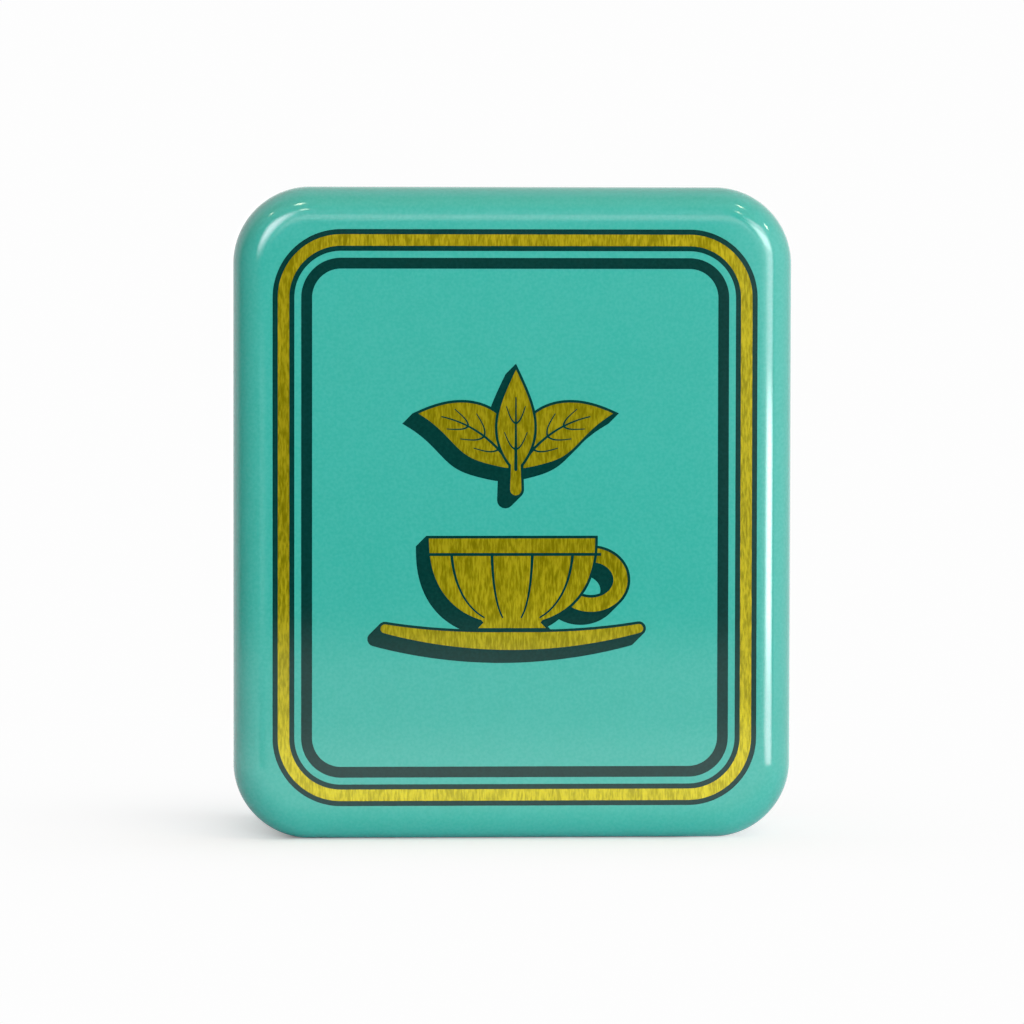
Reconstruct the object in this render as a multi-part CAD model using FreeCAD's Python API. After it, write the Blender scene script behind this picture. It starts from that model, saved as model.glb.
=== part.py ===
import FreeCAD, Part
import os

# A tea tin with a pressed slip lid and a deep-drawn base, standing on its narrow side.
# It faces -Y, with X across, Z up and the origin under the middle of the tin.
# The lid's skirt and the base's wall are flush. Between the lid's rolled rim and the
# base's shoulder, a narrow groove shows the base's neck. The shut tin is solid inside.

# Overall sizes, in millimetres
WIDTH = 94.3
HEIGHT = 110.0
DEPTH = 46.0

# Outline seen from the front
CORNER_RADIUS = 13.0

# Lid: from the flat face at the front to the rolled rim
LID_DEPTH = 16.0
FACE_EDGE_RADIUS = 5.0
RIM_RADIUS = 0.5

# Base: from the shoulder behind the rim to the flat back
SHOULDER_RADIUS = 0.5
BACK_EDGE_RADIUS = 3.5

# Groove between the rim and the shoulder, with the base's neck at its bottom
SEAM_GAP = 0.4
NECK_INSET = 0.6

# Stiffening panel, pressed a little way into the back
PANEL_MARGIN = 9.0
PANEL_CORNER_RADIUS = 6.0
PANEL_DEPTH = 0.6
PANEL_EDGE_RADIUS = 0.5

FRONT_Y = -DEPTH / 2
BACK_Y = DEPTH / 2
RIM_Y = FRONT_Y + LID_DEPTH
SHOULDER_Y = RIM_Y + SEAM_GAP
PARTS_FOLDER = "parts"


def outline_face(inset, radius, y):
    """The tin's outline, drawn in by inset and with these corners, as a flat face at depth y."""
    half_width = WIDTH / 2 - inset
    low, high = inset, HEIGHT - inset
    bend = radius * (1 - 0.5 ** 0.5)

    def point(x, z):
        return FreeCAD.Vector(x, y, z)

    def corner(x, z, turn_x, turn_z):
        """A quarter circle from the upright side to the level side of one corner."""
        return Part.Arc(
            point(x, z + turn_z * radius),
            point(x + turn_x * bend, z + turn_z * bend),
            point(x + turn_x * radius, z),
        ).toShape()

    def side(x_from, z_from, x_to, z_to):
        return Part.LineSegment(point(x_from, z_from), point(x_to, z_to)).toShape()

    edges = [
        side(-half_width + radius, low, half_width - radius, low),
        corner(half_width, low, -1, 1),
        side(half_width, low + radius, half_width, high - radius),
        corner(half_width, high, -1, -1),
        side(half_width - radius, high, -half_width + radius, high),
        corner(-half_width, high, 1, -1),
        side(-half_width, high - radius, -half_width, low + radius),
        corner(-half_width, low, 1, 1),
    ]
    return Part.Face(Part.Wire(Part.sortEdges(edges)[0]))


def slab(inset, radius, y_from, y_to):
    """A solid with the tin's outline, drawn in by inset, between two depths."""
    face = outline_face(inset, radius, y_from)
    return face.extrude(FreeCAD.Vector(0, y_to - y_from, 0))


def edges_at(solid, y):
    """The edges of a solid that lie in the plane square to Y at this depth."""
    near = 1e-4
    return [
        edge
        for edge in solid.Edges
        if abs(edge.BoundBox.YMin - y) < near and abs(edge.BoundBox.YMax - y) < near
    ]


def rounded(solid, y, radius):
    """The solid with its outer edge at this depth rounded."""
    return solid.makeFillet(radius, edges_at(solid, y))


def make_lid():
    """The lid, with its soft front edge and its rolled rim."""
    lid = slab(0, CORNER_RADIUS, FRONT_Y, RIM_Y)
    lid = rounded(lid, FRONT_Y, FACE_EDGE_RADIUS)
    return rounded(lid, RIM_Y, RIM_RADIUS)


def make_panel_recess():
    """The shallow space that the back's stiffening panel takes out of the base."""
    floor_y = BACK_Y - PANEL_DEPTH
    recess = slab(PANEL_MARGIN, PANEL_CORNER_RADIUS, floor_y, BACK_Y)
    return rounded(recess, floor_y, PANEL_EDGE_RADIUS)


def make_base():
    """The base, with its shoulder, its neck up to the lid and its pressed back."""
    wall = slab(0, CORNER_RADIUS, SHOULDER_Y, BACK_Y)
    wall = rounded(wall, BACK_Y, BACK_EDGE_RADIUS)
    wall = rounded(wall, SHOULDER_Y, SHOULDER_RADIUS)
    wall = wall.cut(make_panel_recess())
    neck = slab(NECK_INSET, CORNER_RADIUS - NECK_INSET, RIM_Y, SHOULDER_Y)
    return wall.fuse(neck).removeSplitter()


def main():
    """Writes each sub-part to its own STEP file."""
    os.makedirs(PARTS_FOLDER, exist_ok=True)
    sub_parts = {"lid": make_lid(), "base": make_base()}
    for name, solid in sub_parts.items():
        solid.exportStep(f"{PARTS_FOLDER}/{name}.step")
        box = solid.BoundBox
        print(
            f"{name}: {len(solid.Solids)} solid, valid {solid.isValid()}, "
            f"{box.XLength:.2f} x {box.YLength:.2f} x {box.ZLength:.2f} mm, "
            f"{solid.Volume / 1000:.1f} cm3"
        )


main()
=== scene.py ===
import logging
import math
from dataclasses import dataclass, replace
from enum import Enum
from typing import Any, Callable, Iterable, Mapping, Sequence

import bpy
import numpy as np
from mathutils import Euler, Matrix, Vector
from mathutils.geometry import delaunay_2d_cdt


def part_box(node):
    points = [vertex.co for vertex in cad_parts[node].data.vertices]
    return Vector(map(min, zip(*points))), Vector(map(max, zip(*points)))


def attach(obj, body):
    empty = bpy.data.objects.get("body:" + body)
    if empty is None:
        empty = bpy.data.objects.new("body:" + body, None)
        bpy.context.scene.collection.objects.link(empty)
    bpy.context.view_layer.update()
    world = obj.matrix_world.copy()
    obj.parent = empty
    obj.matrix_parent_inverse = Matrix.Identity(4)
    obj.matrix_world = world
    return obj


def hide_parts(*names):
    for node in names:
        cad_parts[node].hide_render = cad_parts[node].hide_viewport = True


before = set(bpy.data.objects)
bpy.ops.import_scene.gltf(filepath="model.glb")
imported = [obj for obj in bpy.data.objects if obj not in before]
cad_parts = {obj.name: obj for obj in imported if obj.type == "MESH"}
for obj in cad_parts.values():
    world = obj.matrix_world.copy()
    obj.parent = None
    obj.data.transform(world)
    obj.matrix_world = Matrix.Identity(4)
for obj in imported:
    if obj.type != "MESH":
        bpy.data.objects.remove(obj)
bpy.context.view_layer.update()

LOG = logging.getLogger("tea_tin")
MM = 0.001
BODY = "root"

Triple = tuple[float, float, float]
Colour = Triple
Point = tuple[float, float]
Span = tuple[float, float]
Points = np.ndarray

# Sizes that the lid and the base share, in metres
CORNER_RADIUS = 13.0 * MM
RIM_RADIUS = 0.5 * MM
SEAM_GAP = 0.4 * MM
NECK_INSET = 0.6 * MM

# Layers of print: how far each stands out from the lid's flat, and how deep they root in it
INK_RISE = 0.018 * MM
GOLD_RISE = 0.036 * MM
FILM_ROOT = 0.02 * MM

# The lacquer and the dark ink, each with the paler tone of its mottle
TEAL: Colour = (0.052, 0.515, 0.431)
TEAL_PALE: Colour = (0.071, 0.545, 0.467)
INK: Colour = (0.001, 0.042, 0.036)
INK_PALE: Colour = (0.0025, 0.052, 0.046)
INK_DUST: Colour = (0.10, 0.16, 0.15)

# How far the worn spots lie from the edge of the rim and of the shoulder
WEAR_INSET = 0.15 * MM

# How far right of and above the lid's middle the emblems' centres lie, in millimetres
SPRIG_SHIFT = (0.3, 13.9)
CUP_SHIFT = (-0.3, -13.5)

# Light: plain white, how bright the background and the floor look, and the near cards' tint
WHITE: Colour = (1.0, 1.0, 1.0)
PALE_LEVEL = 0.985
STRIP_TINT: Colour = (1.0, 0.84, 0.92)

# Tolerances of the flat shapes, in their own millimetres
WELD = 1e-5
PARALLEL = 1e-4
TINY = 1e-9


class Slot(Enum):
    """The record's material slots."""

    LID = "lid_lacquer"
    BASE = "base_lacquer"
    INK = "dark_ink"
    GOLD = "gold_ink"


# ---------------------------------------------------------------------------
# Shader nodes
# ---------------------------------------------------------------------------


class Signal:
    """A node's output, on which Python's operators add Math nodes."""

    def __init__(self, board: "NodeBoard", socket: bpy.types.NodeSocket) -> None:
        """Wraps one output socket of a board's tree."""
        self.board = board
        self.socket = socket

    def _math(self, operation: str, first: "Value", second: "Value" = 0.0) -> "Signal":
        """Adds one Math node.

        Args:
            operation: the Math node's operation.
            first: the first value or link.
            second: the second value or link.

        Returns:
            The result.
        """
        return self.board.add("ShaderNodeMath", {"operation": operation}, {0: first, 1: second})

    def __add__(self, other: "Value") -> "Signal":
        """self + other."""
        return self._math("ADD", self, other)

    def __radd__(self, other: "Value") -> "Signal":
        """other + self."""
        return self._math("ADD", other, self)

    def __sub__(self, other: "Value") -> "Signal":
        """self - other."""
        return self._math("SUBTRACT", self, other)

    def __rsub__(self, other: "Value") -> "Signal":
        """other - self."""
        return self._math("SUBTRACT", other, self)

    def __mul__(self, other: "Value") -> "Signal":
        """self * other."""
        return self._math("MULTIPLY", self, other)

    def __rmul__(self, other: "Value") -> "Signal":
        """other * self."""
        return self._math("MULTIPLY", other, self)

    def __gt__(self, other: "Value") -> "Signal":
        """1 where self is above other."""
        return self._math("GREATER_THAN", self, other)

    def __abs__(self) -> "Signal":
        """The size of self."""
        return self._math("ABSOLUTE", self)

    def at_least(self, other: "Value") -> "Signal":
        """The higher of the two."""
        return self._math("MAXIMUM", self, other)

    def root(self) -> "Signal":
        """The square root of self."""
        return self._math("SQRT", self)

    def fade(self, reach: float) -> "Signal":
        """1 where self is 0, falling off over a reach."""
        return self._math("EXPONENT", self * (-1.0 / reach))

    def step(self, start: float, end: float) -> "Signal":
        """A smooth step of self.

        Args:
            start: where the step is 0.
            end: where the step is 1.

        Returns:
            A value from 0 to 1.
        """
        return self.board.add(
            "ShaderNodeMapRange",
            {"interpolation_type": "SMOOTHSTEP", "clamp": True},
            {"Value": self, "From Min": start, "From Max": end, "To Min": 0.0, "To Max": 1.0},
        )


Value = Signal | float


class NodeBoard:
    """The node tree of one material or world, and the ways to add to it."""

    def __init__(self, tree: bpy.types.NodeTree) -> None:
        """Empties the tree."""
        self.tree = tree
        tree.nodes.clear()

    def add(
        self,
        kind: str,
        settings: Mapping[str, Any] | None = None,
        inputs: Mapping[str | int, Any] | None = None,
        output: str | int = 0,
    ) -> Signal:
        """Adds a node.

        Args:
            kind: the node's type.
            settings: its own settings, which are set first.
            inputs: the values or links of its sockets, by name or place.
            output: which output to return.

        Returns:
            The chosen output.
        """
        node = self.tree.nodes.new(kind)
        for name, value in (settings or {}).items():
            setattr(node, name, value)
        for name, value in (inputs or {}).items():
            if isinstance(value, Signal):
                self.tree.links.new(value.socket, node.inputs[name])
            else:
                node.inputs[name].default_value = value
        found = node.outputs[output] if node.outputs else None
        return Signal(self, found)

    def place(self) -> Signal:
        """The point's place in the tin's own frame, in metres."""
        return self.add("ShaderNodeTexCoord", output="Object")

    def ray(self, kind: str) -> Signal:
        """1 for one kind of ray."""
        return self.add("ShaderNodeLightPath", output=f"Is {kind} Ray")

    def axis(self, vector: Signal, name: str) -> Signal:
        """One coordinate of a vector, X, Y or Z."""
        return self.add("ShaderNodeSeparateXYZ", inputs={"Vector": vector}, output=name)

    def stretched(self, vector: Signal, scale: Triple) -> Signal:
        """A vector with each coordinate scaled by its own number."""
        return self.add("ShaderNodeVectorMath", {"operation": "MULTIPLY"}, {0: vector, 1: scale})

    def noise(
        self, vector: Signal, size: float, detail: float = 2.0, rough: float = 0.55
    ) -> Signal:
        """Smooth noise.

        Args:
            vector: where to look it up.
            size: the width of its lumps, in the vector's unit.
            detail: how many finer layers it has.
            rough: how strong each finer layer is, as a share of the one before.

        Returns:
            A value around 0.5.
        """
        inputs = {"Vector": vector, "Scale": 1.0 / size, "Detail": detail, "Roughness": rough}
        return self.add("ShaderNodeTexNoise", {"noise_dimensions": "3D"}, inputs)

    def blend(self, first: Any, second: Any, factor: Value) -> Signal:
        """A mix of two colours.

        Args:
            first: the colour or link where factor is 0.
            second: the colour or link where factor is 1.
            factor: how much of the second.

        Returns:
            The mixed colour.
        """
        values = [c if isinstance(c, Signal) else (*c, 1.0) for c in (first, second)]
        return self.add(
            "ShaderNodeMix",
            {"data_type": "RGBA", "clamp_factor": True},
            {0: factor, 6: values[0], 7: values[1]},
            output=2,
        )

    def bump(self, height: Signal, depth: float, normal: Signal | None = None) -> Signal:
        """A relief for a shader's Normal.

        Args:
            height: the relief, from 0 to 1.
            depth: the height of 1, in metres.
            normal: a relief that this one lies on.

        Returns:
            The new normal.
        """
        inputs: dict[str | int, Any] = {"Strength": 1.0, "Distance": depth, "Height": height}
        if normal:
            inputs["Normal"] = normal
        return self.add("ShaderNodeBump", inputs=inputs)

    def emission(self, strength: float, colour: Colour = WHITE) -> Signal:
        """A shader that glows evenly."""
        inputs = {"Color": (*colour, 1.0), "Strength": strength}
        return self.add("ShaderNodeEmission", inputs=inputs)

    def shared(self, factor: Value, first: Signal, second: Signal) -> Signal:
        """A mix of two shaders, which is the second where factor is 1."""
        return self.add("ShaderNodeMixShader", inputs={0: factor, 1: first, 2: second})

    def surface(self, shader: Signal) -> None:
        """Makes a shader the material's surface."""
        self.add("ShaderNodeOutputMaterial", inputs={"Surface": shader})


def new_material(name: str) -> tuple[bpy.types.Material, NodeBoard]:
    """Makes an empty material.

    Args:
        name: the material's name.

    Returns:
        The material and the board of its nodes.
    """
    material = bpy.data.materials.new(name)
    material.use_nodes = True
    return material, NodeBoard(material.node_tree)


# ---------------------------------------------------------------------------
# Finishes
# ---------------------------------------------------------------------------


@dataclass(frozen=True)
class Sheen:
    """The clear varnish and the slightly uneven tinplate that all the print shares.

    The sag and the peel are the heights of the sheet's waves and of the varnish's, in metres.
    """

    gloss: float = 0.06
    uneven: float = 0.05
    patch_size: float = 11.0 * MM
    sag: float = 5.0e-6
    sag_size: float = 16.0 * MM
    peel: float = 0.35e-6
    peel_size: float = 1.6 * MM

    def roughness(self, board: NodeBoard, place: Signal) -> Signal:
        """The varnish's roughness, a little duller in patches."""
        patches = board.noise(place, self.patch_size, detail=4.0)
        return self.gloss + self.uneven * (patches - 0.5)

    def relief(self, board: NodeBoard, place: Signal) -> Signal:
        """The sheet's slow waves with the varnish's fine unevenness on them."""
        waves = board.bump(board.noise(place, self.sag_size, detail=1.0), self.sag)
        return board.bump(board.noise(place, self.peel_size), self.peel, waves)


@dataclass(frozen=True)
class Wear:
    """Short dashes where the lacquer has rubbed off the tinplate, along a rim at a depth."""

    depth: float
    reach: float = 0.30 * MM
    full_reach: float = 0.12 * MM
    dash: float = 3.5 * MM
    rubbed: Span = (0.60, 0.66)
    metal: Colour = (0.26, 0.27, 0.25)
    dulling: float = 0.45

    def mask(self, board: NodeBoard, place: Signal) -> Signal:
        """Where the metal is bare.

        Args:
            board: the material's nodes.
            place: the point's place.

        Returns:
            1 on bare metal.
        """
        away = abs(board.axis(place, "Y") - self.depth)
        dashes = board.noise(place, self.dash, detail=5.0).step(*self.rubbed)
        return away.step(self.reach, self.full_reach) * dashes


@dataclass(frozen=True)
class Dust:
    """A few small pale specks under the varnish, whose reach is a share of their spacing."""

    colour: Colour = (0.62, 0.74, 0.70)
    spacing: float = 13.0 * MM
    reach: float = 0.012
    core: float = 0.4
    empty_share: float = 0.35
    cover: float = 0.8

    def mask(self, board: NodeBoard, place: Signal) -> Signal:
        """Where the specks lie.

        Args:
            board: the material's nodes.
            place: the point's place.

        Returns:
            Above 0 on a speck.
        """
        cells = {"voronoi_dimensions": "3D", "feature": "F1"}
        inputs = {"Vector": place, "Scale": 1.0 / self.spacing}
        near = board.add("ShaderNodeTexVoronoi", cells, inputs, "Distance")
        kind = board.add("ShaderNodeTexVoronoi", cells, inputs, "Color")
        chosen = board.axis(kind, "X") > self.empty_share
        return near.step(self.reach, self.reach * self.core) * chosen * self.cover


@dataclass(frozen=True)
class Print:
    """An opaque printed colour under the varnish, with its fine mottle and specks of dust."""

    name: str
    colour: Colour
    pale: Colour
    cloud: float = 0.8
    cloud_size: float = 7.0 * MM
    mottle: float = 3.0
    mottle_size: float = 0.55 * MM
    index: float = 1.6
    dust: Dust = Dust()
    sheen: Sheen = Sheen()
    wear: Wear | None = None

    def build(self) -> bpy.types.Material:
        """Makes the material."""
        material, board = new_material(self.name)
        place = board.place()
        colour = self._printed(board, place)
        gloss = self.sheen.roughness(board, place)
        inputs: dict[str | int, Any] = {
            "Base Color": colour,
            "Roughness": gloss,
            "IOR": self.index,
            "Normal": self.sheen.relief(board, place),
        }
        if self.wear:
            worn = self.wear.mask(board, place)
            inputs["Base Color"] = board.blend(colour, self.wear.metal, worn)
            inputs["Metallic"] = worn
            inputs["Roughness"] = gloss + self.wear.dulling * worn
        board.surface(board.add("ShaderNodeBsdfPrincipled", inputs=inputs))
        return material

    def _printed(self, board: NodeBoard, place: Signal) -> Signal:
        """The ink's colour.

        Args:
            board: the material's nodes.
            place: the point's place.

        Returns:
            The colour, with broad clouds, a fine mottle and a few pale specks.
        """
        clouds = board.noise(place, self.cloud_size, detail=3.0) - 0.5
        mottle = board.noise(place, self.mottle_size) - 0.5
        tone = 0.5 + self.cloud * clouds + self.mottle * mottle
        ink = board.blend(self.colour, self.pale, tone)
        return board.blend(ink, self.dust.colour, self.dust.mask(board, place))


@dataclass(frozen=True)
class GoldVarnish:
    """Clear yellow varnish over bare tinplate, with the sheet's upright rolling grain."""

    name: str
    deep: Colour = (0.40, 0.345, 0.002)
    bright: Colour = (0.72, 0.615, 0.018)
    metal: float = 0.56
    metal_roughness: float = 0.10
    streak_roughness: float = 0.05
    grain_width: float = 0.30 * MM
    grain_length: float = 1.5 * MM
    grain_depth: float = 6.5e-6
    patch_width: float = 1.4 * MM
    patch_length: float = 3.6 * MM
    patch_share: float = 0.3
    tone_range: Span = (0.30, 0.70)
    varnish: float = 0.65
    varnish_index: float = 1.55
    sheen: Sheen = Sheen()

    def build(self) -> bpy.types.Material:
        """Makes the material."""
        material, board = new_material(self.name)
        place = board.place()
        grain = self._streaks(board, place, self.grain_width, self.grain_length, detail=3.0)
        patches = self._streaks(board, place, self.patch_width, self.patch_length, detail=1.0)
        mixed = grain + self.patch_share * patches - self.patch_share / 2
        tone = mixed.step(*self.tone_range)
        surface = board.add(
            "ShaderNodeBsdfPrincipled",
            inputs={
                "Base Color": board.blend(self.deep, self.bright, tone),
                "Metallic": self.metal,
                "Roughness": self.metal_roughness + self.streak_roughness * tone,
                "Normal": board.bump(grain, self.grain_depth, self.sheen.relief(board, place)),
                "Specular IOR Level": 0.0,
                "Coat Weight": self.varnish,
                "Coat Roughness": self.sheen.gloss,
                "Coat IOR": self.varnish_index,
            },
        )
        board.surface(surface)
        return material

    def _streaks(
        self, board: NodeBoard, place: Signal, width: float, length: float, detail: float
    ) -> Signal:
        """Noise that is drawn out upright.

        Args:
            board: the material's nodes.
            place: the point's place.
            width: the streaks' width.
            length: the streaks' length.
            detail: how many finer layers they have.

        Returns:
            A value around 0.5.
        """
        across, along = 1.0 / width, 1.0 / length
        return board.noise(board.stretched(place, (across, across, along)), 1.0, detail)


# ---------------------------------------------------------------------------
# Lofted shells
# ---------------------------------------------------------------------------


@dataclass(frozen=True)
class Outline:
    """A rounded rectangle, square to Y, that can be drawn in evenly."""

    half_width: float
    low: float
    high: float
    radius: float
    centre_x: float = 0.0
    corner_steps: int = 36

    def ring(self, inset: float, radius: float | None = None) -> tuple[Points, Points]:
        """The outline, drawn in.

        Args:
            inset: how far in.
            radius: the corners' own radius, or None to keep them concentric.

        Returns:
            Its points and their outward directions, as (x, z) rows.
        """
        bend = self.radius - inset if radius is None else radius
        half_width = self.half_width - inset
        half_height = (self.high - self.low) / 2 - inset
        turn = np.linspace(0.0, math.pi / 2, self.corner_steps + 1)
        points, ways = [], []
        for corner, (side, rise) in enumerate(((1, 1), (-1, 1), (-1, -1), (1, -1))):
            angle = turn + corner * math.pi / 2
            way = np.stack([np.cos(angle), np.sin(angle)], axis=1)
            centre = np.array([side * (half_width - bend), rise * (half_height - bend)])
            points.append(centre + bend * way)
            ways.append(way)
        middle = np.array([self.centre_x, (self.low + self.high) / 2])
        return np.concatenate(points) + middle, np.concatenate(ways)


@dataclass(frozen=True)
class Station:
    """One ring of a loft: its depth, how far in it lies, and which way its surface faces.

    A tilt of -90 degrees faces the front, 0 faces out, 90 faces the back and 180 faces in.
    """

    y: float
    inset: float
    tilt: float
    next_tilt: float | None = None
    radius: float | None = None


def arc(
    y: float, inset: float, radius: float, start: float, end: float, steps: int, out: bool = True
) -> list[Station]:
    """A rounded edge of a loft.

    Args:
        y: the depth of the arc's centre.
        inset: how far in its centre lies.
        radius: the arc's radius.
        start: the tilt that it starts with, in degrees.
        end: the tilt that it ends with.
        steps: how many bands it has.
        out: True on an outer edge, False in an inner corner.

    Returns:
        Its stations.
    """
    sign = 1.0 if out else -1.0
    stations = []
    for tilt in np.linspace(start, end, steps + 1):
        angle = math.radians(tilt)
        reach = sign * radius
        stations.append(
            Station(y + reach * math.sin(angle), inset - reach * math.cos(angle), float(tilt))
        )
    return stations


@dataclass(frozen=True)
class SoftEdge:
    """An edge between a flat and a wall, whose bend comes in gradually on the flat's side."""

    radius: float
    ease: float
    steps: int = 34
    samples: int = 6001

    def stations(self, flat: float, inward: float) -> list[Station]:
        """The edge's section, from the flat to the wall.

        Args:
            flat: the depth of the flat.
            inward: 1 where the wall lies towards the back, -1 where it lies towards the front.

        Returns:
            Its stations, with tilts from the flat's to 0.
        """
        length = self.ease / 2 + self.radius * math.pi / 2
        way = np.linspace(0.0, length, self.samples)
        easing_in = way**2 / (2 * self.radius * self.ease)
        bend = np.where(way < self.ease, easing_in, (way - self.ease / 2) / self.radius)
        part = way[1]
        out = np.concatenate([[0.0], np.cumsum(np.cos(bend[1:]) * part)])
        down = np.concatenate([[0.0], np.cumsum(np.sin(bend[1:]) * part)])
        chosen = np.linspace(0, len(way) - 1, self.steps + 1).astype(int)
        return [
            Station(
                flat + inward * float(down[i]),
                float(out[-1] - out[i]),
                float(inward * (math.degrees(bend[i]) - 90)),
            )
            for i in chosen
        ]


@dataclass
class Loft:
    """A closed mesh through stations of one outline, with exact normals."""

    name: str
    outline: Outline
    stations: Sequence[Station]
    hoop: bool = False

    def build(self) -> bpy.types.Object:
        """Makes the object.

        Returns:
            A mesh that is capped at both ends, or joined end to end if it is a hoop.
        """
        rings = [self._ring(station) for station in self.stations]
        count = len(rings[0][0])
        points = np.concatenate([ring[0] for ring in rings])
        faces, normals = [], []
        pairs = list(zip(range(len(rings) - 1), range(1, len(rings))))
        if self.hoop:
            pairs.append((len(rings) - 1, 0))
        for first, second in pairs:
            self._add_band(first, second, rings, faces, normals)
        if not self.hoop:
            faces.append(list(range(count)))
            normals.extend([self._normal(rings[0][1], self.stations[0].tilt, i) for i in faces[-1]])
            start = (len(rings) - 1) * count
            faces.append(list(range(start + count - 1, start - 1, -1)))
            last = self.stations[-1].tilt
            normals.extend([self._normal(rings[-1][1], last, i - start) for i in faces[-1]])
        return mesh_object(self.name, points, faces, normals)

    def _ring(self, station: Station) -> tuple[Points, Points]:
        """One ring's points in space and its outward directions."""
        flat, ways = self.outline.ring(station.inset, station.radius)
        depth = np.full(len(flat), station.y)
        return np.stack([flat[:, 0], depth, flat[:, 1]], axis=1), ways

    def _add_band(
        self,
        first: int,
        second: int,
        rings: Sequence[tuple[Points, Points]],
        faces: list[list[int]],
        normals: list[Vector],
    ) -> None:
        """Adds the faces between two rings.

        Args:
            first: the nearer ring's number.
            second: the next ring's number.
            rings: all rings.
            faces: the faces so far, added to.
            normals: the normals of their corners so far, added to.
        """
        count = len(rings[first][0])
        station = self.stations[first]
        tilt_first = station.tilt if station.next_tilt is None else station.next_tilt
        tilt_second = self.stations[second].tilt
        for i in range(count):
            j = (i + 1) % count
            corners = [
                (first, tilt_first, j),
                (first, tilt_first, i),
                (second, tilt_second, i),
                (second, tilt_second, j),
            ]
            faces.append([ring * count + k for ring, _, k in corners])
            normals.extend(self._normal(rings[ring][1], tilt, k) for ring, tilt, k in corners)

    @staticmethod
    def _normal(ways: Points, tilt: float, i: int) -> Vector:
        """The normal at one point of a ring."""
        level, depth = math.cos(math.radians(tilt)), math.sin(math.radians(tilt))
        return Vector((ways[i][0] * level, depth, ways[i][1] * level))


def mesh_object(
    name: str,
    points: Iterable[Sequence[float]],
    faces: Sequence[Sequence[int]],
    normals: Sequence[Vector],
) -> bpy.types.Object:
    """Makes a smooth mesh object with given corner normals.

    Args:
        name: the piece's name.
        points: the vertices, in metres.
        faces: each face's vertices.
        normals: one normal for each corner, in the faces' order.

    Returns:
        The new object, in the scene.
    """
    mesh = bpy.data.meshes.new(name)
    mesh.from_pydata([tuple(p) for p in points], [], [list(f) for f in faces])
    mesh.shade_smooth()
    mesh.normals_split_custom_set([tuple(n) for n in normals])
    mesh.update()
    piece = bpy.data.objects.new(name, mesh)
    bpy.context.scene.collection.objects.link(piece)
    return piece


def dress(
    piece: bpy.types.Object, material: bpy.types.Material, slot: Slot, *replaced: str
) -> bpy.types.Object:
    """Gives a piece its material and its place in the frame.

    Args:
        piece: the piece.
        material: its material.
        slot: the record's slot that its finish comes from.
        replaced: the construction nodes that it stands for.

    Returns:
        The piece.
    """
    piece.data.materials.append(material)
    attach(piece, BODY)
    if replaced:
        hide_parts(*replaced)
    LOG.info("%s: %d faces, slot %s", piece.name, len(piece.data.polygons), slot.value)
    return piece


@dataclass
class LidShell:
    """The pressed lid: flat face, soft edge, skirt and rolled rim."""

    outline: Outline
    front: float
    rim: float
    edge: SoftEdge = SoftEdge(radius=5.0 * MM, ease=2.45 * MM)
    rim_radius: float = RIM_RADIUS
    rim_reach: float = NECK_INSET * 1.6
    rim_steps: int = 10

    def stations(self) -> list[Station]:
        """The lid's section, from its face to the neck."""
        soft = self.edge.stations(self.face(), 1.0)
        bend = self.rim_radius
        rolled = arc(self.rim - bend, bend, bend, 0, 90, self.rim_steps)
        inner = Station(self.rim, self.rim_reach, 90)
        return [*soft, *rolled, inner]

    def face(self) -> float:
        """The depth of the flat, which leaves room for the print on it."""
        return self.front + GOLD_RISE

    def build(self, finish: Print) -> bpy.types.Object:
        """Makes the lid and dresses it."""
        piece = Loft("lid_shell", self.outline, self.stations()).build()
        return dress(piece, finish.build(), Slot.LID, "lid")


@dataclass
class BaseShell:
    """The deep-drawn base: neck, shoulder, wall, soft edge and pressed back."""

    outline: Outline
    neck: float
    shoulder: float
    back: float
    edge: SoftEdge = SoftEdge(radius=3.5 * MM, ease=1.4 * MM)
    shoulder_radius: float = RIM_RADIUS
    neck_inset: float = NECK_INSET
    panel_margin: float = 9.0 * MM
    panel_corner_radius: float = 6.0 * MM
    panel_depth: float = 0.6 * MM
    panel_edge_radius: float = 0.5 * MM
    shoulder_steps: int = 10
    press_steps: int = 8

    def stations(self) -> list[Station]:
        """The base's section, from the neck to the middle of its back."""
        neck_end = Station(self.neck, self.neck_inset, -90, 0)
        neck_foot = Station(self.shoulder, self.neck_inset, 0, -90)
        bend = self.shoulder_radius
        shoulder = arc(self.shoulder + bend, bend, bend, -90, 0, self.shoulder_steps)
        soft = self.edge.stations(self.back, -1.0)[::-1]
        return [neck_end, neck_foot, *shoulder, *soft, *self._pressing()]

    def _pressing(self) -> list[Station]:
        """The step down into the stiffening panel, with a rounded brink and foot."""
        brink, foot = self.panel_depth / 2, self.panel_edge_radius / 2
        top, floor = self.back - brink, self.back - self.panel_depth + foot
        margin = self.panel_margin
        rounds = [
            *arc(top, margin, brink, 90, 180, self.press_steps),
            *arc(floor, margin + brink + foot, foot, 180, 90, self.press_steps, out=False),
        ]
        return [
            replace(station, radius=self.panel_corner_radius - station.inset + margin)
            for station in rounds
        ]

    def build(self, finish: Print) -> bpy.types.Object:
        """Makes the base and dresses it."""
        piece = Loft("base_shell", self.outline, self.stations()).build()
        return dress(piece, finish.build(), Slot.BASE, "base")


# ---------------------------------------------------------------------------
# Print on the face
# ---------------------------------------------------------------------------


@dataclass(frozen=True)
class Line:
    """One line of the border, between two distances in from its outer edge."""

    name: str
    start: float
    end: float
    slot: Slot


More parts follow.
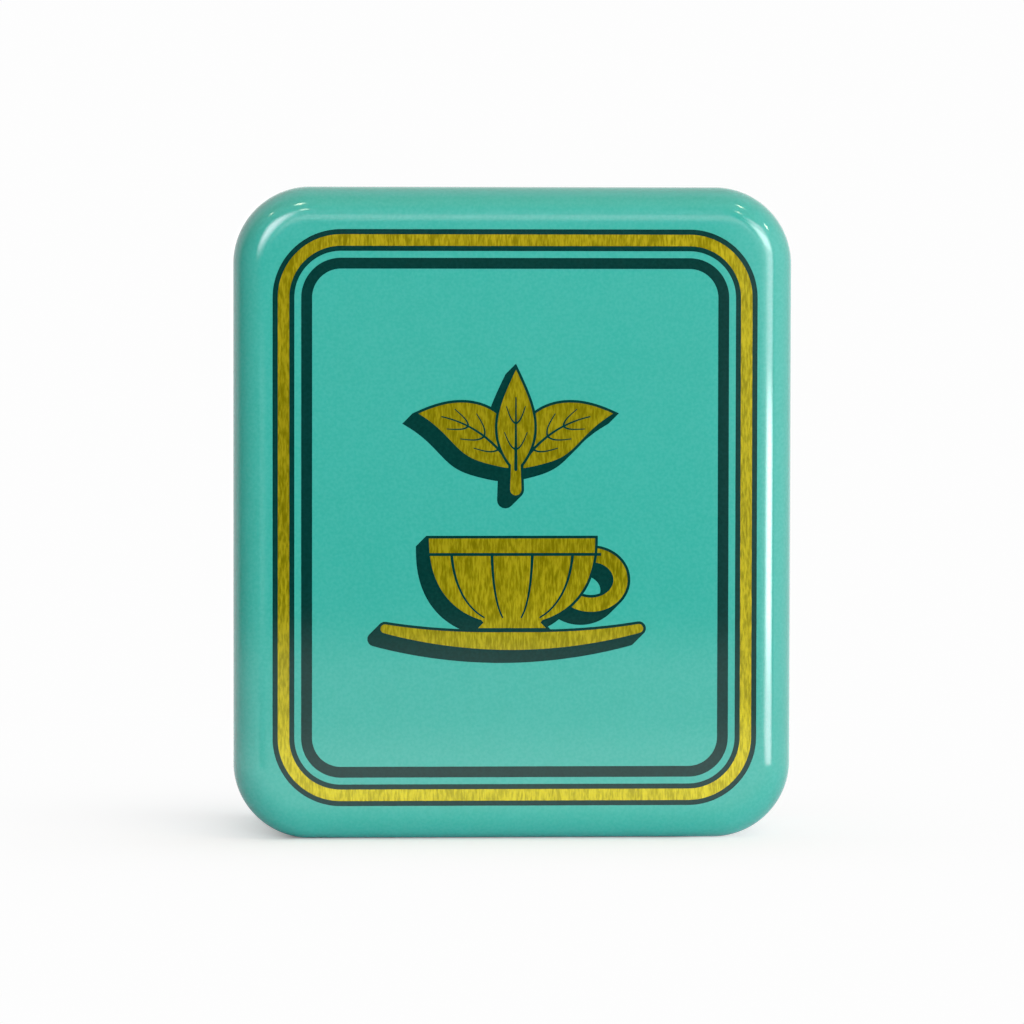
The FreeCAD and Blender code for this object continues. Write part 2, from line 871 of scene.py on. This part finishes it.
@dataclass
class Border:
    """The banded border: a gold band between two thin lines, and a broad line inside."""

    face: float
    centre_x: float = 0.22 * MM
    centre_z: float = 54.33 * MM
    width: float = 81.58 * MM
    height: float = 97.03 * MM
    radius: float = 11.5 * MM
    lines: tuple[Line, ...] = (
        Line("border_outer_line", 0.0, 0.86 * MM, Slot.INK),
        Line("border_gold_band", 0.86 * MM, 2.80 * MM, Slot.GOLD),
        Line("border_inner_line", 2.80 * MM, 3.65 * MM, Slot.INK),
        Line("border_broad_line", 4.80 * MM, 6.63 * MM, Slot.INK),
    )

    def build(self, finishes: Mapping[Slot, bpy.types.Material]) -> list[bpy.types.Object]:
        """Makes each line as a thin hoop of ink.

        Args:
            finishes: the material of each slot.

        Returns:
            The lines.
        """
        outline = Outline(
            self.width / 2,
            self.centre_z - self.height / 2,
            self.centre_z + self.height / 2,
            self.radius,
            self.centre_x,
        )
        root = self.face + FILM_ROOT
        pieces = []
        for line in self.lines:
            top = self.face - (GOLD_RISE if line.slot is Slot.GOLD else INK_RISE)
            section = [
                Station(root, line.end, 90, 180),
                Station(top, line.end, 180, -90),
                Station(top, line.start, -90, 0),
                Station(root, line.start, 0, 90),
            ]
            piece = Loft(line.name, outline, section, hoop=True).build()
            pieces.append(dress(piece, finishes[line.slot], line.slot))
        return pieces


def closed(points: Sequence[Point]) -> Points:
    """A polygon as rows, turned so that it runs counter-clockwise."""
    rows = np.array(points, float)
    x, z = rows[:, 0], rows[:, 1]
    area = np.sum(x * np.roll(z, -1) - np.roll(x, -1) * z)
    return rows if area > 0 else rows[::-1]


def grown(polygon: Points, distance: float, sharpest: float = 0.45) -> Points:
    """A polygon with its edges moved out.

    Args:
        polygon: a counter-clockwise polygon.
        distance: how far each edge moves.
        sharpest: the cosine of half a corner's turn, below which the corner is blunted.

    Returns:
        The larger polygon, with its sharpest corners blunted.
    """
    along = np.roll(polygon, -1, axis=0) - polygon
    along /= np.linalg.norm(along, axis=1)[:, None]
    out = np.stack([along[:, 1], -along[:, 0]], axis=1)
    before = np.roll(out, 1, axis=0)
    middle = out + before
    middle /= np.maximum(np.linalg.norm(middle, axis=1), TINY)[:, None]
    reach = 1.0 / np.maximum(np.sum(middle * out, axis=1), sharpest)
    return polygon + middle * reach[:, None] * distance


def swept(polygon: Points, shift: Sequence[float]) -> list[Points]:
    """The polygons that a polygon covers while it slides.

    Args:
        polygon: a counter-clockwise polygon.
        shift: how far it slides, as x and z.

    Returns:
        Polygons that together cover the way.
    """
    move = np.array(shift)
    covered = [polygon, polygon + move]
    for start, end in zip(polygon, np.roll(polygon, -1, axis=0)):
        edge = end - start
        if abs(edge[0] * move[1] - edge[1] * move[0]) > PARALLEL:
            covered.append(closed([start, end, end + move, start + move]))
    return covered


@dataclass
class Film:
    """A thin layer of ink whose shape is painted from flat polygons, in millimetres.

    Each layer is a polygon and whether it lays ink or leaves a gap. Later layers win.
    """

    name: str
    layers: Sequence[tuple[Points, bool]]

    def build(self, root: float, top: float) -> bpy.types.Object:
        """Makes the film as a closed slab.

        Args:
            root: the depth of its hidden side, in metres.
            top: the depth of its shown side.

        Returns:
            The film's object.
        """
        flat, triangles = self._triangles()
        count = len(flat)
        points = [(x * MM, depth, z * MM) for depth in (top, root) for x, z in flat]
        faces = [list(t) for t in triangles]
        normals = [Vector((0, -1, 0))] * (3 * len(faces))
        sides = {(a, b) for t in triangles for a, b in zip(t, t[1:] + t[:1])}
        for triangle in triangles:
            faces.append([i + count for i in reversed(triangle)])
            normals += [Vector((0, 1, 0))] * 3
        for a, b in sorted(side for side in sides if side[::-1] not in sides):
            faces.append([b, a, a + count, b + count])
            edge = flat[b] - flat[a]
            normals += [Vector((edge[1], 0, -edge[0])).normalized()] * 4
        return mesh_object(self.name, points, faces, normals)

    def _triangles(self) -> tuple[Points, list[tuple[int, ...]]]:
        """The film's area as triangles.

        Returns:
            Its corners and its triangles, which run counter-clockwise seen from the front.
        """
        corners = [Vector(point) for polygon, _ in self.layers for point in polygon]
        faces, start = [], 0
        for polygon, _ in self.layers:
            faces.append(list(range(start, start + len(polygon))))
            start += len(polygon)
        made = delaunay_2d_cdt(corners, [], faces, 1, WELD)
        kept = [
            tuple(triangle)
            for triangle, origins in zip(made[2], made[5])
            if origins and self.layers[max(origins)][1]
        ]
        used = sorted({i for triangle in kept for i in triangle})
        place = {old: new for new, old in enumerate(used)}
        flat = np.array([tuple(made[0][i]) for i in used])
        return flat, [tuple(place[i] for i in triangle) for triangle in kept]


def directions(line: Points) -> tuple[Points, Points]:
    """The unit vectors along a line of points, and those to its left."""
    along = np.gradient(line, axis=0)
    along /= np.linalg.norm(along, axis=1)[:, None]
    return along, np.stack([-along[:, 1], along[:, 0]], axis=1)


def stroke(
    path: Callable[[float], Point],
    half_width: Callable[[float], float],
    steps: int = 40,
    cap_steps: int = 8,
) -> Points:
    """A band along a path, with round ends.

    Args:
        path: the middle of the band, from 0 to 1.
        half_width: half the band's width along it.
        steps: how many parts the path has.
        cap_steps: how many parts each round end has.

    Returns:
        The band's outline.
    """
    share = np.linspace(0, 1, steps + 1)
    middle = np.array([path(t) for t in share])
    along, across = directions(middle)
    half = np.array([half_width(t) for t in share])[:, None]
    outline = list(middle + across * half)
    for end, turn in ((-1, math.pi / 2), (0, -math.pi / 2)):
        for step in range(1, cap_steps):
            angle = turn - step / cap_steps * math.pi
            way = along[end] * math.cos(angle) + across[end] * math.sin(angle)
            outline.append(middle[end] + way * half[end])
        if end == -1:
            outline.extend((middle - across * half)[::-1])
    return closed(outline)


@dataclass(frozen=True)
class Leaf:
    """A pointed leaf with a bent middle line, in millimetres and in shares of its length."""

    base: Point
    tip: Point
    width: float
    bend: float
    fullness: float = 0.8
    vein: float = 0.55
    vein_end: float = 0.80
    vein_taper: float = 0.6
    side_veins: int = 3
    side_vein: float = 0.34
    side_taper: float = 0.5
    side_start: float = 0.20
    side_span: float = 0.52
    side_lean: float = 0.17
    side_reach: float = 0.62
    side_sag: float = 0.22
    steps: int = 30

    def _middle(self, share: float) -> Points:
        """A point of the leaf's middle line."""
        base, tip = np.array(self.base), np.array(self.tip)
        along = tip - base
        across = np.array([-along[1], along[0]])
        return base + along * share + across * self.bend * 4 * share * (1 - share)

    def _half(self, share: float) -> float:
        """Half the leaf's width at a share of its length."""
        return self.width / 2 * math.sin(math.pi * share**self.fullness)

    def blade(self) -> Points:
        """The leaf's outline."""
        share = np.linspace(0, 1, self.steps + 1)
        middle = np.array([self._middle(t) for t in share])
        _, across = directions(middle)
        half = np.array([self._half(t) for t in share])[:, None]
        left = middle + across * half
        right = middle - across * half
        return closed([*left[1:-1], self.tip, *right[-2:0:-1], self.base])

    def veins(self) -> list[Points]:
        """The dark lines along the leaf's middle and out to its sides."""
        lines = [
            stroke(
                lambda t: tuple(self._middle(self.vein_end * t)),
                lambda t: self.vein / 2 * (1 - self.vein_taper * t),
                steps=20,
                cap_steps=4,
            )
        ]
        for number in range(self.side_veins):
            start = self.side_start + self.side_span * number / self.side_veins
            for side in (-1, 1):
                lines.append(self._side_vein(start, side))
        return lines

    def _side_vein(self, start: float, side: int) -> Points:
        """One line from the middle towards the leaf's edge.

        Args:
            start: where it leaves the middle line, as a share of the length.
            side: which side it lies on, 1 or -1.

        Returns:
            The line's outline.
        """
        lean = start + self.side_lean
        foot, ahead = self._middle(start), self._middle(lean)
        along = ahead - foot
        across = side * np.array([-along[1], along[0]]) / np.linalg.norm(along)
        end = ahead + across * self.side_reach * self._half(lean)
        return stroke(
            lambda t: tuple(
                foot + (end - foot) * t - along * self.side_sag * math.sin(math.pi * t)
            ),
            lambda t: self.side_vein / 2 * (1 - self.side_taper * t),
            steps=10,
            cap_steps=4,
        )


@dataclass
class Emblem:
    """A picture in gold with a dark outline and a dark block shadow to the lower left."""

    name: str
    centre: Point
    outline: float = 0.45
    shadow: float = 1.75

    def layers(self) -> list[tuple[Points, bool]]:
        """The picture about its own centre, as gold shapes and the gaps in them."""
        raise NotImplementedError

    def build(self, face: float, finishes: Mapping[Slot, bpy.types.Material]) -> None:
        """Makes the gold and the dark under it.

        Args:
            face: the depth of the lid's flat.
            finishes: the material of each slot.
        """
        gold = [(shape + np.array(self.centre), kept) for shape, kept in self.layers()]
        shift = (-self.shadow, -self.shadow)
        dark = [
            (part, True)
            for shape, kept in gold
            if kept
            for part in swept(grown(shape, self.outline), shift)
        ]
        for slot, layers, rise in ((Slot.INK, dark, INK_RISE), (Slot.GOLD, gold, GOLD_RISE)):
            film = Film(f"{self.name}_{slot.name.lower()}", layers)
            dress(film.build(face + FILM_ROOT, face - rise), finishes[slot], slot)


@dataclass
class SprigEmblem(Emblem):
    """Two tea leaves and a bud on a short stem."""

    leaf_base: Point = (0.5, -6.2)
    leaf_tip: Point = (16.4, 3.0)
    leaf_width: float = 8.6
    leaf_bend: float = 0.13
    bud: Leaf = Leaf((0.0, -6.4), (0.0, 10.4), 6.2, 0.0, vein_end=0.72, side_veins=2)
    stem_end: float = -9.8
    stem_length: float = 4.4
    stem_half: float = 0.95
    stem_taper: float = 0.15

    def layers(self) -> list[tuple[Points, bool]]:
        """The leaves, then the bud and the stem in front of them."""
        painted: list[tuple[Points, bool]] = []
        for side in (-1, 1):
            base = (side * self.leaf_base[0], self.leaf_base[1])
            tip = (side * self.leaf_tip[0], self.leaf_tip[1])
            leaf = Leaf(base, tip, self.leaf_width, side * self.leaf_bend)
            painted.append((leaf.blade(), True))
            painted.extend((vein, False) for vein in leaf.veins())
        bud = self.bud
        stem = stroke(
            lambda t: (0.0, self.stem_end + self.stem_length * t),
            lambda t: self.stem_half - self.stem_taper * t,
            steps=6,
        )
        for shape in (bud.blade(), stem):
            painted.append((grown(shape, self.outline), False))
        painted.extend((shape, True) for shape in (bud.blade(), stem))
        painted.extend((vein, False) for vein in bud.veins())
        return painted


@dataclass
class CupEmblem(Emblem):
    """A fluted tea cup on its saucer, with the handle to the right."""

    rim_half: float = 14.0
    rim_z: float = 9.4
    rim_overlap: float = 1.0
    band: float = 2.7
    foot_half: float = 4.8
    foot_z: float = -5.0
    foot_flare: Point = (0.9, 0.7)
    fullness: float = 2.3
    bowl_end: float = 0.985
    bowl_steps: int = 34
    flutes: int = 4
    flute_spread: float = 0.98
    flute_gap: float = 1.1
    flute_taper: float = 0.45
    line: float = 0.5
    handle_half: float = 1.2
    handle_centre: Point = (13.3, 2.4)
    handle_reach: Point = (5.0, 4.2)
    handle_start: float = 118
    handle_turn: float = 240
    saucer_half: float = 21.4
    saucer_drop: float = 2.9
    saucer_rise: float = 2.1
    saucer_curve: float = 2.2
    saucer_thick: float = 1.5
    saucer_thinning: float = 0.75
    saucer_taper: float = 1.5

    def layers(self) -> list[tuple[Points, bool]]:
        """The saucer and the handle, then the cup in front of them with its lines."""
        bowl = self._bowl()
        painted = [(self._saucer(), True), (self._handle(), True)]
        painted.append((grown(bowl, self.outline), False))
        painted.append((bowl, True))
        painted.append((self._rim_line(), False))
        painted.extend((flute, False) for flute in self._flute_lines())
        return painted

    def _half(self, z: float) -> float:
        """Half the bowl's width at a height."""
        share = (self.rim_z - z) / (self.rim_z - self.foot_z)
        return self.rim_half * (1 - min(share, 1.0) ** self.fullness) ** (1 / self.fullness)

    def _bowl(self) -> Points:
        """The cup's body in front view."""
        drop = self.rim_z - self.foot_z
        shares = np.linspace(0, self.bowl_end, self.bowl_steps)
        heights = [self.rim_z - share * drop for share in shares]
        sides = [(max(self._half(z), self.foot_half), z) for z in heights]
        sides.append((self.foot_half + self.foot_flare[0], self.foot_z - self.foot_flare[1]))
        mirrored = [(-x, z) for x, z in reversed(sides)]
        return closed([*sides, *mirrored])

    def _rim_line(self) -> Points:
        """The dark line under the cup's rim."""
        z, wide = self.rim_z - self.band, self.rim_half + self.rim_overlap
        low, high = z - self.line / 2, z + self.line / 2
        return closed([(-wide, low), (wide, low), (wide, high), (-wide, high)])

    def _flute_lines(self) -> list[Points]:
        """The dark lines of the cup's fluting, which draw together towards the foot."""
        top, end = self.rim_z - self.band, self.foot_z + self.flute_gap
        lines = []
        for number in range(self.flutes):
            share = (2 * number + 1) / self.flutes - 1

            def path(t: float, share: float = share) -> Point:
                """One flute's middle line, from the rim's line down."""
                z = top + (end - top) * t
                return share * self.flute_spread * self._half(z), z

            def half(t: float) -> float:
                """Half the line's width, which narrows on its way down."""
                return self.line / 2 * (1 - self.flute_taper * t)

            lines.append(stroke(path, half, cap_steps=4))
        return lines

    def _handle(self) -> Points:
        """The handle, a round ear."""

        def path(share: float) -> Point:
            """The ear's middle line, from its upper end to its lower end."""
            angle = math.radians(self.handle_start - self.handle_turn * share)
            (x, z), (wide, tall) = self.handle_centre, self.handle_reach
            return x + wide * math.cos(angle), z + tall * math.sin(angle)

        return stroke(path, lambda t: self.handle_half)

    def _saucer(self) -> Points:
        """The saucer seen from the side, with its edges turned up."""

        def path(share: float) -> Point:
            """The saucer's middle line, from left to right."""
            x = (2 * share - 1) * self.saucer_half
            lift = self.saucer_rise * abs(x / self.saucer_half) ** self.saucer_curve
            return x, self.foot_z - self.saucer_drop + lift

        def half(share: float) -> float:
            """Half the saucer's thickness, which thins towards its edges."""
            outward = abs(2 * share - 1)
            return self.saucer_thick - self.saucer_thinning * outward**self.saucer_taper

        return stroke(path, half)


# ---------------------------------------------------------------------------
# Studio
# ---------------------------------------------------------------------------


def facing(way: Vector, roll: float) -> Euler:
    """The rotation of a thing that looks along a direction.

    Args:
        way: the direction.
        roll: how far the thing is turned about it, in degrees.

    Returns:
        The rotation.
    """
    turn = way.to_track_quat("-Z", "Y").to_matrix().to_4x4()
    return (turn @ Matrix.Rotation(math.radians(roll), 4, "Z")).to_euler()


def sheet(name: str, x: float, y: float, material: bpy.types.Material) -> bpy.types.Object:
    """Makes a flat rectangle.

    Args:
        name: its name.
        x: half its width.
        y: half its height.
        material: its material.

    Returns:
        The new object, in no scene yet.
    """
    mesh = bpy.data.meshes.new(name)
    mesh.from_pydata([(-x, -y, 0), (x, -y, 0), (x, y, 0), (-x, y, 0)], [], [(0, 1, 2, 3)])
    mesh.materials.append(material)
    return bpy.data.objects.new(name, mesh)


@dataclass(frozen=True)
class Stand:
    """A place in the studio, given by its direction from the tin's middle, in degrees."""

    name: str
    azimuth: float
    elevation: float
    distance: float
    width: float
    height: float
    level: float
    roll: float = 0.0

    def _put(self, thing: bpy.types.Object, aim: Vector) -> None:
        """Puts a thing here, facing the tin.

        Args:
            thing: the lamp or card.
            aim: the point that it faces.
        """
        azimuth, elevation = math.radians(self.azimuth), math.radians(self.elevation)
        away = Vector(
            (
                math.sin(azimuth) * math.cos(elevation),
                -math.cos(azimuth) * math.cos(elevation),
                math.sin(elevation),
            )
        )
        thing.location = aim + away * self.distance
        thing.rotation_euler = facing(-away, self.roll)
        thing.visible_camera = False
        bpy.context.scene.collection.objects.link(thing)
        LOG.info("%s: level %.2f", self.name, self.level)


@dataclass(frozen=True)
class Lamp(Stand):
    """A soft lamp whose own shape the gloss leaves out."""

    colour: Colour = WHITE

    def build(self, aim: Vector) -> None:
        """Makes the lamp, at which a white surface that faces it renders at its level."""
        data = bpy.data.lights.new(self.name, "AREA")
        data.shape = "RECTANGLE"
        data.size, data.size_y = self.width, self.height
        data.energy = self.level * (math.pi * self.distance) ** 2
        data.color = self.colour
        lamp = bpy.data.objects.new(self.name, data)
        lamp.visible_glossy = False
        self._put(lamp, aim)


@dataclass(frozen=True)
class Reflector(Stand):
    """A glowing card with soft edges that only the gloss shows.

    cores gives the share of its width and of its height that glows fully.
    """

    cores: Span = (0.15, 0.15)
    colour: Colour = WHITE

    def build(self, aim: Vector) -> None:
        """Makes the card, whose middle glows at its level."""
        x, y = self.width / 2, self.height / 2
        material, board = new_material(self.name)
        place = board.place()
        edges = [
            abs(board.axis(place, name)).step(half, half * core)
            for name, half, core in zip("XY", (x, y), self.cores)
        ]
        glow = board.emission(self.level, self.colour)
        clear = board.add("ShaderNodeBsdfTransparent")
        board.surface(board.shared(edges[0] * edges[1], clear, glow))
        card = sheet(self.name, x, y, material)
        card.visible_diffuse = card.visible_shadow = False
        self._put(card, aim)


@dataclass(frozen=True)
class Floor:
    """The pale sheet under the tin: as the camera sees it, and as the tin's gloss does.

    level is what the lamps alone make of it, and a glow adds what the pale level lacks. In
    the gloss it gives way to the room in two steps, over bright_end and over lit_end.
    """

    level: float = 0.56
    shade: Colour = (0.95, 0.90, 0.93)
    bounce: Colour = (0.72, 0.86, 1.0)
    foot_half: Span = (32.0 * MM, 18.0 * MM)
    foot_middle: Point = (-5.0 * MM, 0.0)
    shading_reach: float = 19.0 * MM
    # Painted contact shadow: near the foot the floor's glow is dimmed by this share, fading over
    # the reach below, and its colour is darkened towards the tint below
    painted_contact_shadow: float = 0.56
    painted_shadow_tint: Colour = (0.90, 0.50, 0.50)
    painted_shadow_reach: float = 4.0 * MM
    # Painted pool of light: in the gloss, away from the foot, the floor glows at this level,
    # brighter than the camera sees it
    mirrored_level: float = 1.48
    mirrored_reach: float = 40.0 * MM
    bright_end: Span = (0.17, 0.30)
    lit_end: Span = (0.40, 0.66)
    lit_share: float = 0.58
    half_size: float = 6.0

    def build(self) -> None:
        """Makes the floor."""
        material, board = new_material("pale_floor")
        camera, gloss, clear = (board.ray(kind) for kind in ("Camera", "Glossy", "Transmission"))
        place = board.place()
        away = self._from_foot(board, place)
        # Painted contact shadow near the foot: less glow lifts the floor there, and its colour
        # darkens
        painted_contact_shadow = self.painted_contact_shadow * away.fade(self.painted_shadow_reach)
        shade = board.blend(self.shade, self.painted_shadow_tint, painted_contact_shadow)
        tone = board.blend(self.bounce, shade, camera)
        diffuse = board.add("ShaderNodeBsdfDiffuse", inputs={"Color": tone})
        lift = board.emission(PALE_LEVEL - self.level)
        lifted = board.add("ShaderNodeAddShader", inputs={0: diffuse, 1: lift})
        shaded = board.shared(camera * (1.0 - painted_contact_shadow), diffuse, lifted)
        plain = camera.at_least(clear) * (1.0 - away.fade(self.shading_reach))
        seen = board.shared(plain, shaded, board.emission(PALE_LEVEL))
        # Painted pool of light for the gloss: away from the foot the floor glows brighter than it
        # looks to the camera
        mirrored = gloss * (1.0 - away.fade(self.mirrored_reach))
        lit = board.shared(mirrored, seen, board.emission(self.mirrored_level))
        room = board.add("ShaderNodeBsdfTransparent")
        board.surface(board.shared(gloss * self._beyond(board, place), lit, room))
        floor = sheet("floor", self.half_size, self.half_size, material)
        bpy.context.scene.collection.objects.link(floor)

    def _from_foot(self, board: NodeBoard, place: Signal) -> Signal:
        """The distance from the flat that the tin stands on.

        Args:
            board: the floor's nodes.
            place: the point's place.

        Returns:
            The distance, in metres.
        """
        past_x, past_y = (
            (abs(board.axis(place, name) - middle) - half).at_least(0.0)
            for name, middle, half in zip("XY", self.foot_middle, self.foot_half)
        )
        return (past_x * past_x + past_y * past_y).root()

    def _beyond(self, board: NodeBoard, place: Signal) -> Signal:
        """How far the bright sheet under the tin has given way to the room.

        Args:
            board: the floor's nodes.
            place: the point's place.

        Returns:
            0 on the bright sheet, 1 beyond the table.
        """
        flat = board.stretched(place, (1.0, 1.0, 0.0))
        away = board.add("ShaderNodeVectorMath", {"operation": "LENGTH"}, {0: flat}, "Value")
        near, far = away.step(*self.bright_end), away.step(*self.lit_end)
        return near * (1.0 - self.lit_share) + far * self.lit_share


@dataclass(frozen=True)
class RoomLight:
    """How bright the room is to each side of the tin and above it."""

    left: float
    right: float
    behind: float
    top: float

    def level(self, right: Signal, high: Signal, behind: Signal) -> Signal:
        """The brightness of every direction.

        Args:
            right: 1 to the right.
            high: 1 above.
            behind: 1 behind the tin.

        Returns:
            The brightness.
        """
        around = self.left + (self.right - self.left) * right
        around = around * (1.0 - high) + self.top * high
        return around * (1.0 - behind) + self.behind * behind


@dataclass(frozen=True)
class Room:
    """The room: brighter to the right and behind, and dark beyond the camera.

    Each range gives a direction's own coordinate where a side starts and where it is full.
    """

    mirrored: RoomLight = RoomLight(left=0.25, right=1.40, behind=1.3, top=0.80)
    soft: RoomLight = RoomLight(left=0.10, right=0.45, behind=0.28, top=0.05)
    warm: Colour = (1.0, 0.93, 0.62)
    right_range: Span = (0.20, 0.75)
    high_range: Span = (0.25, 0.8)
    behind_range: Span = (0.0, -0.50)
    behind_lean: float = 0.33
    dark: float = 0.98
    dark_range: Span = (0.93, 0.985)

    def build(self) -> None:
        """Makes the world."""
        world = bpy.data.worlds.new("room")
        bpy.context.scene.world = world
        world.use_nodes = True
        board = NodeBoard(world.node_tree)
        way = board.add("ShaderNodeTexCoord", output="Generated")
        ahead, rise = board.axis(way, "Y") * -1.0, board.axis(way, "Z")
        right = board.axis(way, "X").step(*self.right_range)
        high = rise.step(*self.high_range)
        behind = (ahead - self.behind_lean * rise.at_least(0.0)).step(*self.behind_range)
        hole = 1.0 - self.dark * ahead.step(*self.dark_range)
        mirrored = self.mirrored.level(right, high, behind) * hole
        soft = self.soft.level(right, high, behind)
        camera = board.ray("Camera").at_least(board.ray("Transmission"))
        gloss = board.ray("Glossy")
        light = gloss * mirrored + (1.0 - gloss) * soft
        inputs = {
            "Color": board.blend(self.warm, WHITE, camera.at_least(right).at_least(behind)),
            "Strength": camera * PALE_LEVEL + (1.0 - camera) * light,
        }
        glow = board.add("ShaderNodeBackground", inputs=inputs)
        board.add("ShaderNodeOutputWorld", inputs={"Surface": glow})


@dataclass(frozen=True)
class Viewpoint:
    """The camera, a little above the tin's middle and a little to its left."""

    distance: float = 1.05
    rise: float = 2.65
    left: float = 3.15
    roll: float = 0.1
    shift: Triple = (-0.33 * MM, 0.0, 0.35 * MM)
    lens: float = 219.5
    sensor: float = 36.0
    clip: Span = (0.05, 50.0)

    def build(self, middle: Vector) -> None:
        """Makes the camera.

        Args:
            middle: the middle of the tin's face.
        """
        data = bpy.data.cameras.new("camera")
        data.sensor_width, data.lens = self.sensor, self.lens
        data.clip_start, data.clip_end = self.clip
        camera = bpy.data.objects.new("camera", data)
        rise, left = math.radians(self.rise), math.radians(self.left)
        away = Vector(
            (
                -math.cos(rise) * math.sin(left),
                -math.cos(rise) * math.cos(left),
                math.sin(rise),
            )
        )
        camera.location = middle + self.distance * away
        look = middle + Vector(self.shift) - camera.location
        camera.rotation_euler = facing(look, self.roll)
        scene = bpy.context.scene
        scene.collection.objects.link(camera)
        scene.camera = camera
        scene.view_settings.view_transform = "Standard"


@dataclass
class Studio:
    """The floor, the room, the lamps, the cards and the camera.

    Each lamp or card gives its azimuth, elevation, distance, width, height, level and roll,
    and each bulb its azimuth, elevation, width, height and level.
    """

    aim: Vector
    front: float
    lamps: tuple[Lamp | Reflector, ...] = (
        Lamp("key_lamp", 38, 52, 1.6, 0.7, 0.7, 0.165, colour=(1.0, 0.97, 0.77)),
        Lamp("fill_lamp", 13, 5.0, 1.6, 0.8, 0.8, 0.775),
        Lamp("side_lamp", 60, 6, 0.50, 0.25, 0.35, 0.05),
        Lamp("back_lamp", 172, 5, 1.6, 1.1, 0.8, 0.50),
        Reflector("corner_card", -18.3, 17.4, 1.12, 0.62, 0.62, 9.3, colour=(1.0, 0.84, 0.94)),
        Reflector("brow_card", 4.2, 9.2, 1.0, 0.40, 0.25, 2.0, 0, (0.7, 0.3), (1.0, 0.80, 0.86)),
        Reflector("ceiling_card", 3.0, 21.0, 1.07, 0.40, 0.36, 0.8, 0, (0.5, 0.3)),
        Reflector("haze_card", 31.1, 0, 0.260, 0.185, 0.16, 0.44, 0, (0.88, 0.6)),
        Reflector("halo_card", 31.0, 0, 0.235, 0.17, 0.15, 2.4, 0, (0.10, 0.8)),
        Reflector("strip_card", 38.2, 7.2, 0.159, 0.068, 0.168, 6.0, -4, (0.15, 0.85), STRIP_TINT),
        Reflector("sill_card", 38.2, -15.8, 0.158, 0.068, 0.029, 9.0, -4, (0.15, 0.35), STRIP_TINT),
        Reflector("window_card", 38.2, -3.0, 0.155, 0.061, 0.066, 18.0, -4, (0.15, 0.45)),
        Reflector("upper_window_card", 38.4, 24.5, 0.160, 0.066, 0.032, 11.0, -4, (0.15, 0.3)),
        Reflector("left_sheen_card", -23.0, -5.5, 0.155, 0.050, 0.12, 0.60, 0, (0.20, 0.5)),
    )
    bulbs: tuple[tuple[float, float, float, float, float], ...] = (
        (-13.6, 51.8, 0.22, 0.20, 15.0),
        (-4.0, 28.6, 0.14, 0.17, 10.5),
        (-50.8, 45.4, 0.12, 0.14, 11.0),
        (41.8, 51.6, 0.14, 0.20, 17.0),
        (22.0, 32.0, 0.10, 0.16, 11.0),
        (59.6, 30.6, 0.15, 0.16, 22.0),
    )
    bulb_distance: float = 1.2
    bulb_colour: Colour = (1.0, 0.92, 0.68)

    def build(self) -> None:
        """Makes the whole studio."""
        Floor().build()
        Room().build()
        for lamp in self.lamps:
            lamp.build(self.aim)
        for number, (azimuth, elevation, width, height, level) in enumerate(self.bulbs, 1):
            place = (azimuth, elevation, self.bulb_distance, width, height, level)
            Reflector(f"room_bulb_{number}", *place, colour=self.bulb_colour).build(self.aim)
        Viewpoint().build(Vector((0.0, self.front, self.aim.z)))


def main() -> None:
    """Builds the tin's pieces and its studio."""
    logging.basicConfig(level=logging.INFO, format="%(name)s %(message)s")
    lid_low, lid_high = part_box("lid")
    base_low, base_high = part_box("base")
    outline = Outline(lid_high.x, lid_low.z, lid_high.z, CORNER_RADIUS)
    rim, shoulder = lid_high.y, base_low.y + SEAM_GAP
    lid = LidShell(outline, lid_low.y, rim)
    base = BaseShell(outline, base_low.y, shoulder, base_high.y)
    lid.build(Print("lid_lacquer", TEAL, TEAL_PALE, wear=Wear(rim - WEAR_INSET)))
    base.build(Print("base_lacquer", TEAL, TEAL_PALE, wear=Wear(shoulder + WEAR_INSET)))
    finishes = {
        Slot.INK: Print("dark_ink", INK, INK_PALE, index=1.45, dust=Dust(INK_DUST)).build(),
        Slot.GOLD: GoldVarnish("gold_ink").build(),
    }
    Border(lid.face()).build(finishes)
    middle = (lid_low.z + lid_high.z) / 2
    sprig_z, cup_z = middle / MM + SPRIG_SHIFT[1], middle / MM + CUP_SHIFT[1]
    SprigEmblem("sprig", (SPRIG_SHIFT[0], sprig_z)).build(lid.face(), finishes)
    CupEmblem("cup", (CUP_SHIFT[0], cup_z)).build(lid.face(), finishes)
    Studio(Vector((0.0, 0.0, middle)), lid_low.y).build()


if __name__ == "__main__":
    main()
